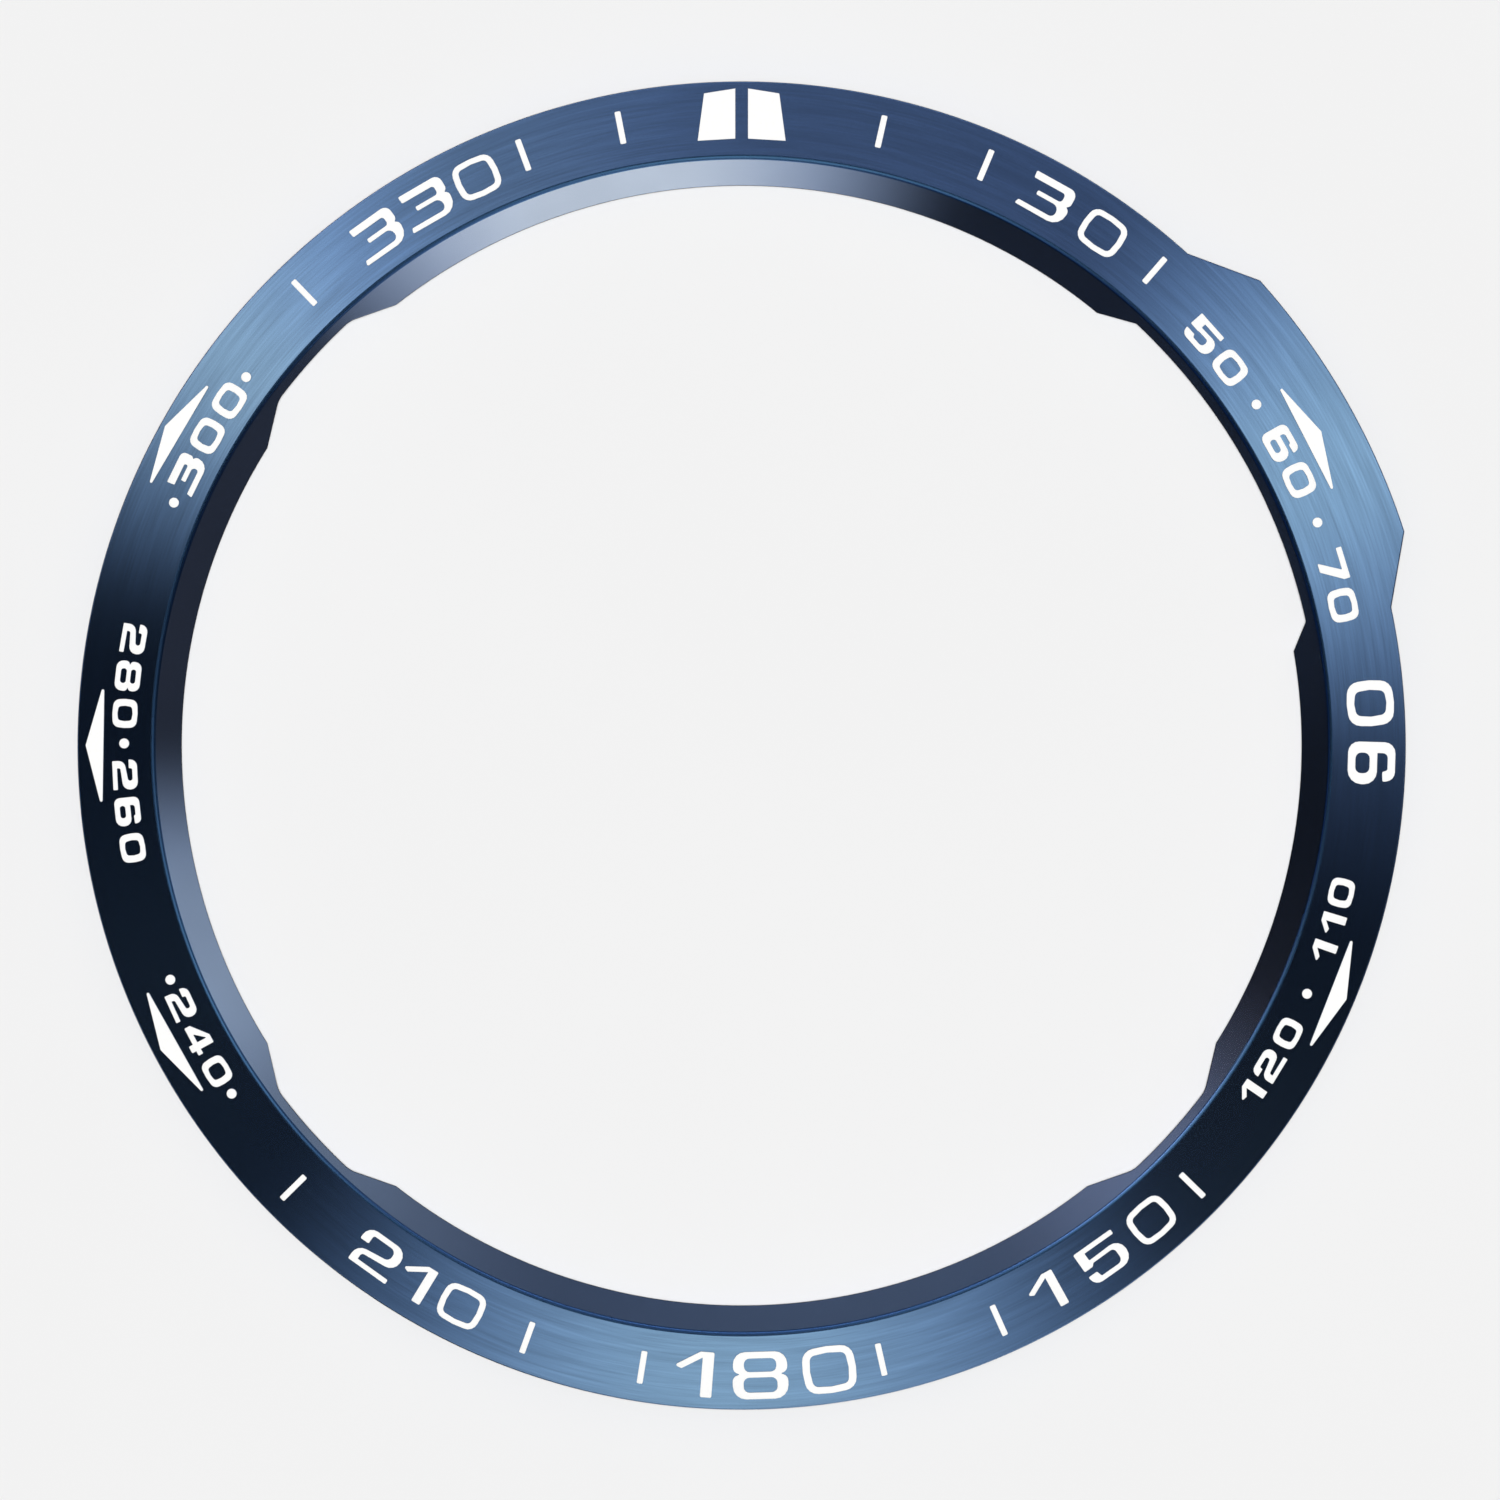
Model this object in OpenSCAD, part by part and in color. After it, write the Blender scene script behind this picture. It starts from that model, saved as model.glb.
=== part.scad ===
// Cover ring for the bezel of a round outdoor watch: a brushed steel ring with a guard bump, four reliefs in
// its opening, a degree scale laid on its sloping face in white lacquer, and a stick-on tape in a channel
// underneath.
// Millimetres. The ring's axis is Z, the foot of its collar stands on Z = 0 and twelve o'clock is +Y.
// Azimuths are in degrees, clockwise from twelve o'clock as the wearer reads them.

/* [Ring] */
// Outside diameter of the round rim
outer_d = 48; // [47:0.5:52]
// Width of the marked face, from its inner edge to the rim
face_w = 2.75; // [2.6:0.05:3.2]
// Width of the sloping wall inside the face, seen from above
wall_w = 1; // [0.8:0.05:1.2]
// Height of the ring at the inner edge of its face
ring_h = 1.9; // [1.7:0.05:2.4]
// Fall of the face towards the rim in degrees
face_fall = 7.5; // [4:0.5:9]
// Height of the upright part of the collar's bore
collar_h = 0.95; // [0.7:0.05:1.2]
// Radius of the rolled edge between the face and the wall
lip_r = 0.22; // [0.1:0.01:0.25]
// Radius of the rolled edge between the face and the rim
edge_r = 0.06; // [0.05:0.01:0.16]

/* [Underside] */
// Wall thickness of the collar that drops inside the watch's own bezel
collar_w = 1.05; // [0.9:0.05:1.3]
// Wall thickness of the skirt under the rim
skirt_w = 0.5; // [0.3:0.05:0.7]
// Height of the skirt's foot above the collar's foot
skirt_foot = 0.3; // [0.1:0.05:0.4]
// Height of the channel's roof above the collar's foot
channel_roof = 0.75; // [0.7:0.05:0.9]

/* [Guard] */
// Azimuth of the guard's middle
guard_az = 60.1; // [50:0.1:70]
// Reach of the guard beyond the round rim
guard_out = 1.17; // [0.7:0.01:1.5]
// Half angle of the guard's outer arc
guard_half = 12; // [9:0.5:15]
// Angle that each end ramp of the guard takes
guard_ramp = 5.9; // [4.5:0.1:8]

/* [Reliefs] */
// Depth of the reliefs in the edge of the opening
relief_depth = 0.64; // [0.3:0.01:0.8]
// Azimuth of the wide relief's middle
wide_relief_az = 60.35; // [50:0.05:70]
// Half angle of the wide relief's floor
wide_relief_half = 17.25; // [12:0.25:20]
// Angle of the wide relief's ramp on the twelve o'clock side
wide_relief_lead = 3.7; // [2:0.1:5]
// Angle of the wide relief's ramp on the six o'clock side
wide_relief_trail = 2.7; // [2:0.1:5]
// Corner radius of the wide relief
wide_relief_r = 0.1; // [0.05:0.05:0.5]
// Half angle of a small relief's floor
small_relief_half = 5.3; // [4:0.1:8]
// Angle of each ramp of a small relief
small_relief_ramp = 4.6; // [3:0.1:6]
// Corner radius of a small relief
small_relief_r = 1; // [0.2:0.1:1.2]

/* [Tape] */
// Thickness of the stick-on tape
tape_t = 0.25; // [0.1:0.05:0.3]
// Clearance of the tape from the skirt
tape_gap = 0.15; // [0.05:0.05:0.3]
// Clearance of the tape from the collar, where the watch's bezel slides on
collar_gap = 0.65; // [0.6:0.05:0.8]

/* [Lacquer] */
// Thickness of the lacquer of the marks
lacquer_t = 0.04; // [0.02:0.01:0.1]
// Bond line between the face and the lacquer
bond_t = 0.005; // [0.002:0.001:0.01]

/* [Scale] */
// Length of a tick
tick_len = 1.2; // [0.8:0.01:1.5]
// Width of a tick
tick_w = 0.22; // [0.15:0.01:0.4]
// Radius of the corners of the ticks and pointers
mark_r = 0.05; // [0.02:0.01:0.07]
// Distance of the ticks' outer ends from the rim
tick_margin = 0.65; // [0.5:0.01:0.9]
// Height of the ordinary numerals
numeral_h = 1.44; // [1.1:0.01:1.6]
// Distance of the ordinary numerals' middle line from the face's middle
numeral_out = 0.02; // [0:0.01:0.1]
// Height of the numerals at three and six o'clock
cardinal_h = 1.73; // [1.3:0.01:1.85]
// Distance of those two numerals' middle line from the face's middle
cardinal_out = 0.14; // [0:0.01:0.16]
// Height of the small numerals on the upper half
small_h_upper = 1.06; // [0.8:0.01:1.15]
// Height of the small numerals on the lower half
small_h_lower = 0.92; // [0.8:0.01:1.1]
// Distance of the small numerals' middle line from the face's inner edge
small_margin = 1.06; // [0.9:0.01:1.15]
// Gap between neighbouring small numerals
small_gap = 0.28; // [0.2:0.01:0.35]
// Diameter of the round dots between the small numerals
dot_d = 0.36; // [0.25:0.01:0.45]
// Gap between a numeral that stands alone and the dots on its two sides
dot_gap = 0.26; // [0.1:0.01:0.35]

/* [Pointers] */
// Width of a pointer's base before its tips are rounded
pointer_w = 4.7; // [4:0.05:5]
// Height of a pointer from its base to its apex
pointer_h = 0.65; // [0.5:0.01:0.7]
// Distance of an upper pointer's apex from the rim
pointer_margin = 0.17; // [0.15:0.01:0.25]
// How much nearer to the axis the lower pointers sit
pointer_drop = 0.12; // [0:0.01:0.14]

/* [North marker] */
// Gap between the two halves of the north marker
north_gap = 0.46; // [0.3:0.02:0.7]
// Length of each half along the radius
north_len = 1.83; // [1.2:0.01:1.9]
// Width of each half at its outer end
north_w_outer = 1.13; // [0.7:0.01:1.3]
// Width of each half at its inner end
north_w_inner = 1.36; // [0.9:0.01:1.5]
// How far the outer end slopes back towards its far corner
north_slope_outer = 0.18; // [0.05:0.01:0.25]
// How far the inner end slopes back towards its far corner
north_slope_inner = 0.08; // [0.03:0.01:0.12]
// Distance of the north marker's outer corners from the rim
north_margin = 0.25; // [0.2:0.01:0.4]

/* [Hidden] */
$fn = 144;
// Faces per rounded corner of an outline
CORNER_STEPS = 4;
// Largest share of an edge that the roundings at its two ends may take
EDGE_SHARE = 0.94;
// Overshoot of a cutter past the faces that it opens
CUT = 1;
// How far the rolled edge's cutter starts above the face, in chords of the roll
LEAD_CHORDS = 5;

rim_r = outer_d / 2;
face_r = rim_r - face_w;
opening_r = face_r - wall_w;
guard_r = rim_r + guard_out;
relief_r = opening_r + relief_depth;
collar_r = opening_r + collar_w;
band_r = (rim_r + face_r) / 2;
small_r = face_r + small_margin;

TICK_AZIMUTHS = [12.8, 22.8, 41.0, 134.3, 155.9, 167.2, 189.1, 199.9, 225.4, 316.0, 339.7, 348.9];
// Pointers: the azimuth of each, and how far it is turned clockwise from the radius there
POINTERS = [[61.5, 1.3], [112.8, -1.5], [242.4, -1.75], [270.0, 0.9], [298.95, 1.65]];
SMALL_RELIEF_AZIMUTHS = [132, 228, 312];
// Between these azimuths the scale is read from below, with the tops of its numerals towards the axis
READ_FROM_BELOW = [80, 285];

// Lettering styles: height, width factor, and the thickness of the upright strokes, of the level strokes and
// of the upright strokes of a zero, all three as shares of the height
ORDINARY = [numeral_h, 1, 0.21, 0.14, 0.155];
NARROW = [cardinal_h, 0.84, 0.21, 0.16, 0.2];
CARDINAL = [cardinal_h, 0.98, 0.215, 0.14, 0.155];
SMALL_UPPER = [small_h_upper, 1, 0.29, 0.2, 0.25];
SMALL_LOWER = [small_h_lower, 1, 0.29, 0.2, 0.27];

// Large numerals: value, style, distance of their middle line from the face's, and the azimuth of each digit
LARGE_NUMERALS = [
    ["30", ORDINARY, numeral_out, [29.08, 35.15]],
    ["90", NARROW, cardinal_out, [91.6, 86.15]],
    ["150", ORDINARY, numeral_out, [151.0, 144.75, 139.2]],
    ["180", CARDINAL, cardinal_out, [184.4, 178.3, 172.0]],
    ["210", ORDINARY, numeral_out, [215.6, 211.45, 206.55]],
    ["330", ORDINARY, numeral_out, [324.45, 329.75, 335.0]],
];
// Small numerals: value, style and the azimuth of their middle
SMALL_NUMERALS = [
    ["50", SMALL_UPPER, 50.3],
    ["60", SMALL_UPPER, 62.65],
    ["70", SMALL_UPPER, 75.0],
    ["110", SMALL_LOWER, 106.5],
    ["120", SMALL_LOWER, 120.9],
    ["240", SMALL_LOWER, 241.7],
    ["260", SMALL_LOWER, 263.9],
    ["280", SMALL_LOWER, 276.5],
    ["300", SMALL_UPPER, 299.9],
];
// Dots: the row of their small numeral, and 1 or -1 for the side of it on which they stand, or 0 for the
// middle between it and the next numeral
DOTS = [[0, 0], [1, 0], [3, 0], [5, -1], [5, 1], [6, 0], [8, -1], [8, 1]];
// Width of each digit from 0 to 9 as a share of its height
DIGIT_WIDTHS = [1.145, 0.84, 1.18, 1.3, 1.2, 1.195, 1.12, 1.1, 1.19, 1.06];

function numeral_name(row) = str("numeral_", row[0]);

STEEL_BLUE = [0.22, 0.34, 0.53];
LACQUER_WHITE = [0.97, 0.97, 0.95];
TAPE_GREY = [0.32, 0.33, 0.35];

// Plain geometry

function unit(v) = v / norm(v);
function polar(r, az) = [r * sin(az), r * cos(az)];
function turned(v, angle) = [v.x * cos(angle) - v.y * sin(angle), v.x * sin(angle) + v.y * cos(angle)];
function reversed(path) = [for (i = [len(path) - 1 : -1 : 0]) path[i]];

// Signed angle that the outline turns through at b
function turn(a, b, c) = atan2(cross(b - a, c - b), (b - a) * (c - b));

// The outline's corner at b, rounded to radius r as an arc from edge ab to edge bc
function corner(a, b, c, r) =
    let (
        into = unit(b - a),
        angle = turn(a, b, c),
        spoke = sign(angle) * r * [into.y, -into.x],
        centre = b - into * r * tan(abs(angle) / 2) - spoke
    )
    r > 0 ? [for (i = [0 : CORNER_STEPS]) centre + turned(spoke, angle * i / CORNER_STEPS)] : [b];

// A closed outline with its corners rounded: path is a list of [x, y, corner radius]. Where two roundings
// would meet on an edge, both are made smaller.
function rounded(path) =
    let (
        n = len(path),
        p = [for (q = path) [q.x, q.y]],
        before = [for (i = [0 : n - 1]) p[(i + n - 1) % n]],
        after = [for (i = [0 : n - 1]) p[(i + 1) % n]],
        reach = [for (i = [0 : n - 1]) path[i].z * tan(abs(turn(before[i], p[i], after[i])) / 2)],
        room = [for (i = [0 : n - 1]) EDGE_SHARE * norm(after[i] - p[i])],
        fit = [for (i = [0 : n - 1]) room[i] / max(room[i], reach[i] + reach[(i + 1) % n])]
    )
    [for (i = [0 : n - 1])
        each corner(before[i], p[i], after[i], path[i].z * min(fit[i], fit[(i + n - 1) % n]))];

// One plane figure from outer outlines and counters
module figure(paths) {
    loops = [for (path = paths) rounded(path)];
    starts = [for (i = 0, s = 0; i < len(loops); s = s + len(loops[i]), i = i + 1) s];
    polygon(
        points = [for (loop = loops) each loop],
        paths = [for (i = [0 : len(loops) - 1]) [for (j = [0 : len(loops[i]) - 1]) starts[i] + j]]
    );
}

// Digits. Each is a list of outlines for width w, upright strokes v and level strokes t, all as shares of
// the height, in a box from [0, 0] to [w, 1]. The forms are wide and square with rounded corners. Round forms
// fill the box, and flat ones stop at FOOT and TOP so that all look equally tall.

FOOT = 0.02;
TOP = 0.98;
OUTER_CORNER = 0.32;
INNER_CORNER = 0.12;
STROKE_END = 0.035;
// Height of the middle bar of a three and an eight, and half its thickness as a share of a level stroke
BAR_LEVEL = 0.515;
HALF_BAR = 0.42;

// A box whose four sides bow out slightly
function bowed_box(x0, y0, x1, y1, r, bow) = [
    [x0 + bow, y0 + bow, r], [(x0 + x1) / 2, y0, r], [x1 - bow, y0 + bow, r], [x1, (y0 + y1) / 2, r],
    [x1 - bow, y1 - bow, r], [(x0 + x1) / 2, y1, r], [x0 + bow, y1 - bow, r], [x0, (y0 + y1) / 2, r],
];
function counter(x0, y0, x1, y1) = [
    [x0, y0, INNER_CORNER], [x0, y1, INNER_CORNER], [x1, y1, INNER_CORNER], [x1, y0, INNER_CORNER],
];

function zero(w, v, t) =
    let (corner = 0.27, bow = 0.035)
    [
        bowed_box(0, 0, w, 1, corner, bow),
        reversed(bowed_box(v, t, w - v, 1 - t, INNER_CORNER, bow)),
    ];

function one(w, v, t) =
    let (stem = w - 1.12 * v, left = stem - 0.05, tip = 0.66, slope = (TOP - tip) / left, flag = 1.1 * t)
    [[
        [stem, FOOT, STROKE_END], [w, FOOT, STROKE_END], [w, TOP, STROKE_END], [left, TOP, 0.06],
        [0, tip, STROKE_END], [flag, tip + flag * (slope - 1), STROKE_END],
        [stem, tip + stem * slope - flag, 0],
    ]];

// Its middle stroke rises to the right
function two(w, v, t) =
    let (left = 0.04, lobe = w - 1.2 * v, hook_w = 1.2 * v, hook = 0.5 + 0.85 * t, middle = 0.33 + 0.66 * t,
        rise = 0.06, foot = FOOT + 0.9 * t)
    [[
        [left, FOOT, STROKE_END], [w, FOOT, STROKE_END], [w, foot, STROKE_END],
        [left + v, foot, 0.02], [left + v, middle - rise / 2 - t / 2, 0.08],
        [w, middle + rise - t / 2, OUTER_CORNER], [w, 1, OUTER_CORNER], [0, 1, 0.28],
        [0, hook, STROKE_END], [hook_w, hook, STROKE_END], [hook_w, 1 - t, 0.06], [lobe, 1 - t, 0.14],
        [lobe, middle + rise + t / 2, 0.14], [left, middle - rise + t / 2, 0.28],
    ]];

function three(w, v, t) =
    let (lobe = w - 1.25 * v, inset = w - 0.01, bar = 0.38, top_bar = 1 - 1.35 * t, half = HALF_BAR * t)
    [[
        [0, 0.01, STROKE_END], [w, 0, 0.36], [w, 0.46, 0.13], [w - 0.09, 0.535, 0.01], [inset, 0.6, 0.12],
        [inset, 1, 0.19], [0.12, 1, STROKE_END], [0.14, top_bar, STROKE_END], [lobe, top_bar, 0.08],
        [lobe, BAR_LEVEL + half, 0.08], [bar, BAR_LEVEL + half, STROKE_END],
        [bar, BAR_LEVEL - half, STROKE_END], [lobe, BAR_LEVEL - half, 0.16], [lobe, t, 0.13],
        [0.05, t, STROKE_END],
    ]];

function four(w, v, t) =
    let (stem = w - 0.2 - v, bar = 0.2, slope = 0.04)
    [
        [
            [stem, FOOT, STROKE_END], [stem + v, FOOT, STROKE_END], [stem + v, bar, 0], [w, bar, STROKE_END],
            [w, bar + t, STROKE_END], [stem + v, bar + t, 0], [stem + v, TOP, STROKE_END],
            [stem - 0.06, TOP, 0.03], [0, bar + t + slope, 0.03], [0, bar, STROKE_END], [stem, bar, 0],
        ],
        [[stem, bar + t, 0.02], [0.36, bar + t, 0.02], [stem, 0.82, 0.02]],
    ];

function five(w, v, t) =
    let (bowl = 0.67, post = 0.46, post_w = 1.25 * v, light = 0.9 * t, lobe = w - 1.17 * v, hook = 0.3)
    [[
        [0.03, FOOT, 0.24], [w, FOOT, OUTER_CORNER], [w, bowl, 0.3], [post_w, bowl - 0.03, 0.03],
        [post_w, TOP - light, 0.02], [w - 0.05, TOP - light, STROKE_END], [w - 0.05, TOP, STROKE_END],
        [0, TOP, STROKE_END], [0, post, STROKE_END], [1.15 * v, post, STROKE_END],
        [1.5 * v, bowl - light - 0.01, 0.04], [lobe, bowl - light, 0.11], [lobe, FOOT + light, 0.14],
        [1.45 * v, FOOT + light, 0.04], [1.25 * v, hook, STROKE_END], [0, hook, STROKE_END],
    ]];

function seven(w, v, t) =
    let (foot = 0.3 * w)
    [[
        [foot, FOOT, STROKE_END], [foot + 1.1 * v, FOOT, STROKE_END], [w, 0.76, 0.1], [w, TOP, STROKE_END],
        [0, TOP, STROKE_END], [0, TOP - t, STROKE_END], [w - 1.15 * v, TOP - t, 0.02],
    ]];

function eight(w, v, t) =
    let (inset = 0.015, waist = 0.16, level = 0.53, half = HALF_BAR * t)
    [
        [
            [0, 0, 0.28], [w, 0, 0.28], [w, 0.48, 0.14], [w - waist, level, 0.01], [w - inset, 0.58, 0.14],
            [w - inset, 1, 0.26], [inset, 1, 0.26], [inset, 0.58, 0.14], [waist, level, 0.01],
            [0, 0.48, 0.14],
        ],
        counter(v + inset, t, w - v - inset, BAR_LEVEL - half),
        counter(v + 2 * inset, BAR_LEVEL + half, w - v - 2 * inset, 1 - t),
    ];

function nine(w, v, t) =
    let (bowl = 0.38, side = 1.1 * v, corner = 0.23)
    [
        [
            [0.09, 0, 0.2], [w, 0, corner], [w, 1, corner], [0, 1, 0.29], [0, bowl, 0.27],
            [w - side, bowl, 0.01], [w - side, t, 0.1], [1.45 * v, t, 0.04], [1.27 * v, 0.27, STROKE_END],
            [0.06, 0.26, STROKE_END],
        ],
        counter(side, bowl + t, w - side, 1 - t),
    ];

function six(w, v, t) = [for (path = nine(w, v, t)) [for (q = path) [w - q.x, 1 - q.y, q.z]]];

function digit_paths(d, w, style) =
    let (v = style[2], t = style[3])
    d == 0 ? zero(w, style[4], t)
    : d == 1 ? one(w, v, t)
    : d == 2 ? two(w, v, t)
    : d == 3 ? three(w, v, t)
    : d == 4 ? four(w, v, t)
    : d == 5 ? five(w, v, t)
    : d == 6 ? six(w, v, t)
    : d == 7 ? seven(w, v, t)
    : d == 8 ? eight(w, v, t)
    : nine(w, v, t);

// The digit at a place in a numeral's text, its width in a style, and its full size outlines about its middle
function digit_at(text, i) = ord(text[i]) - ord("0");
function digit_w(d, style) = DIGIT_WIDTHS[d] * style[1];
function digit_outline(d, style) =
    let (h = style[0], w = digit_w(d, style))
    [for (path = digit_paths(d, w, style)) [for (q = path) h * [q.x - w / 2, q.y - 0.5, q.z]]];

// Marks on the face

// Height of the face at a radius
function face_z(r) = ring_h - (r - face_r) * tan(face_fall);
function from_below(az) = az > READ_FROM_BELOW[0] && az < READ_FROM_BELOW[1];

// White lacquer in the outline of the child, which is drawn about the origin with +Y outwards and laid on the
// plane that touches the sloping face at an azimuth and radius
module mark(az, r) {
    color(LACQUER_WHITE)
        rotate([0, 0, -az])
            translate([0, r, face_z(r)])
                rotate([-face_fall, 0, 0])
                    translate([0, 0, bond_t])
                        linear_extrude(lacquer_t)
                            children();
}

module digit(d, style, az, r) {
    mark(az, r)
        rotate(from_below(az) ? 180 : 0)
            figure(digit_outline(d, style));
}

// A large numeral, each digit at its own azimuth
module large_numeral(row) {
    for (i = [0 : len(row[0]) - 1])
        digit(digit_at(row[0], i), row[1], row[3][i], band_r + row[2]);
}

// Width of the first n digits of a small numeral with the gaps that follow them
function run_w(text, style, n) =
    n <= 0 ? 0 : run_w(text, style, n - 1) + digit_w(digit_at(text, n - 1), style) * style[0] + small_gap;

function small_numeral_w(row) = run_w(row[0], row[1], len(row[0])) - small_gap;

// A small numeral, its digits spaced by their widths round its middle azimuth
module small_numeral(row) {
    text = row[0];
    style = row[1];
    whole = small_numeral_w(row);
    reading = from_below(row[2]) ? -1 : 1;
    for (i = [0 : len(text) - 1]) {
        d = digit_at(text, i);
        offset = run_w(text, style, i) + digit_w(d, style) * style[0] / 2 - whole / 2;
        digit(d, style, row[2] + reading * offset / small_r * 180 / PI, small_r);
    }
}

module tick(az) {
    half_w = tick_w / 2;
    half_len = tick_len / 2;
    mark(az, rim_r - tick_margin - half_len)
        figure([[
            [-half_w, -half_len, mark_r], [half_w, -half_len, mark_r],
            [half_w, half_len, mark_r], [-half_w, half_len, mark_r],
        ]]);
}

function dot_azimuth(place) =
    let (row = SMALL_NUMERALS[place[0]])
    place[1] == 0
        ? (row[2] + SMALL_NUMERALS[place[0] + 1][2]) / 2
        : row[2] + place[1] * (small_numeral_w(row) / 2 + dot_gap + dot_d / 2) / small_r * 180 / PI;

module dot(place) {
    mark(dot_azimuth(place), small_r)
        circle(d = dot_d, $fn = 48);
}

// A flat triangle that points outwards
module pointer(row) {
    half = pointer_w / 2;
    mark(row[0], rim_r - pointer_margin - pointer_h - (from_below(row[0]) ? pointer_drop : 0))
        rotate(-row[1])
            figure([[[-half, 0, mark_r], [half, 0, mark_r], [0, pointer_h, mark_r]]]);
}

// One half of the north marker, on the side of the given sign
module north_half(side) {
    inner = north_gap / 2;
    half_len = north_len / 2;
    right = [
        [inner, -half_len, 0],
        [inner + north_w_inner, -half_len - north_slope_inner, 0],
        [inner + north_w_outer, half_len - north_slope_outer, 0],
        [inner, half_len, 0],
    ];
    mark(0, rim_r - north_margin - half_len)
        mirror([side > 0 ? 0 : 1, 0])
            figure([right]);
}

// Ring

// The section of the ring and its guard, with the two edges of the face rolled
module section() {
    figure([[
        [opening_r, 0, 0],
        [collar_r, 0, 0],
        [collar_r, skirt_foot, 0],
        [guard_r, skirt_foot, 0],
        [guard_r, face_z(guard_r), edge_r],
        [face_r, ring_h, lip_r],
        [opening_r, collar_h, 0],
    ]]);
}

// A guard ramp moved into the guard by inset, as two points on its line: one inside the rim, one past the
// guard's outer arc
function guard_ramp_line(side, inset) =
    let (
        foot = polar(rim_r, guard_az + side * (guard_half + guard_ramp)),
        top = polar(guard_r, guard_az + side * guard_half),
        along = unit(top - foot),
        into = side * [-along.y, along.x]
    )
    [foot + inset * into - CUT * along, top + inset * into + CUT * along];

// The plan between the guard's two ramps, from well inside the rim to past the guard's outer arc
module guard_wedge(inset) {
    first = guard_ramp_line(-1, inset);
    last = guard_ramp_line(1, inset);
    polygon([
        polar(band_r, guard_az), first[0], first[1], polar(guard_r + CUT, guard_az), last[1], last[0],
    ]);
}

// The rim seen from above, drawn in by inset all round
module rim_plan(inset) {
    circle(r = rim_r - inset);
    intersection() {
        circle(r = guard_r - inset);
        guard_wedge(inset);
    }
}

// One end of a relief: a point on the ramp inside the opening, the tangent point on the ramp, the centre of
// the rounded corner, and a point past the corner's tangent on the relief's floor
function relief_end(side, half, ramp, r) =
    let (
        foot = polar(opening_r, side * (half + ramp)),
        top = polar(relief_r, side * half),
        along = unit(top - foot),
        into = side * [-along.y, along.x],
        off = into * foot + r,
        centre = off * into + sqrt((relief_r - r) ^ 2 - off ^ 2) * along
    )
    [foot - along * CUT / 2, centre - r * into, centre, centre * (relief_r + CUT) / (relief_r - r)];

// Plan of a relief whose middle is at twelve o'clock
module relief_plan(half, lead, trail, r) {
    first = relief_end(-1, half, lead, r);
    last = relief_end(1, half, trail, r);
    intersection() {
        circle(r = relief_r);
        polygon([
            first[0], first[1], first[2], first[3], [0, relief_r + CUT],
            last[3], last[2], last[1], last[0],
        ]);
    }
    for (end = [first, last])
        translate(end[2])
            circle(r = r, $fn = 48);
}

module reliefs() {
    rotate(-wide_relief_az)
        relief_plan(wide_relief_half, wide_relief_lead, wide_relief_trail, wide_relief_r);
    for (az = SMALL_RELIEF_AZIMUTHS)
        rotate(-az)
            relief_plan(small_relief_half, small_relief_ramp, small_relief_ramp, small_relief_r);
}

// What lies outside the round rim and the rolled edge of its face
module rim_waste() {
    roll = corner([face_r, ring_h], [rim_r, face_z(rim_r)], [rim_r, 0], edge_r);
    lead_in = roll[0] + LEAD_CHORDS * (roll[0] - roll[1]);
    top = ring_h + CUT;
    rotate_extrude()
        polygon(concat(
            [lead_in],
            roll,
            [[rim_r, -CUT], [guard_r + CUT, -CUT], [guard_r + CUT, top], [lead_in.x, top]]
        ));
}

module bezel_ring() {
    color(STEEL_BLUE)
        difference() {
            rotate_extrude()
                section();
            difference() {
                rim_waste();
                translate([0, 0, -2 * CUT])
                    linear_extrude(ring_h + 4 * CUT)
                        guard_wedge(0);
            }
            translate([0, 0, skirt_foot - CUT])
                linear_extrude(channel_roof - skirt_foot + CUT)
                    difference() {
                        rim_plan(skirt_w);
                        circle(r = collar_r);
                    }
            translate([0, 0, -CUT])
                linear_extrude(ring_h + 2 * CUT)
                    reliefs();
        }
}

// Tape, pressed against the channel's roof and following the guard
module adhesive_tape() {
    color(TAPE_GREY)
        translate([0, 0, channel_roof - tape_t])
            linear_extrude(tape_t)
                difference() {
                    rim_plan(skirt_w + tape_gap);
                    circle(r = collar_r + collar_gap);
                }
}

bezel_ring();
adhesive_tape();
north_half(-1);  // north_marker_left
north_half(1);  // north_marker_right
for (row = LARGE_NUMERALS)
    large_numeral(row);
for (row = SMALL_NUMERALS)
    small_numeral(row);
for (i = [1 : len(POINTERS)])
    pointer(POINTERS[i - 1]);
for (i = [1 : len(TICK_AZIMUTHS)])
    tick(TICK_AZIMUTHS[i - 1]);
for (i = [1 : len(DOTS)])
    dot(DOTS[i - 1]);
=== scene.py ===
"""Looks of a cover ring for the bezel of a round outdoor watch.

The ring is turned from steel, coated blue and brushed in circles. Its scale is printed in white lacquer, and
a ring of foam tape sits in the channel underneath. Everything is in metres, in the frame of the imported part:
the ring's axis is Z, the foot of its collar stands on Z = 0, and twelve o'clock is +Y. Azimuths are in
degrees, clockwise from twelve o'clock as the wearer reads them.
"""

import logging
import math
from dataclasses import dataclass, field
from enum import Enum
from typing import Sequence, Union

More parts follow.
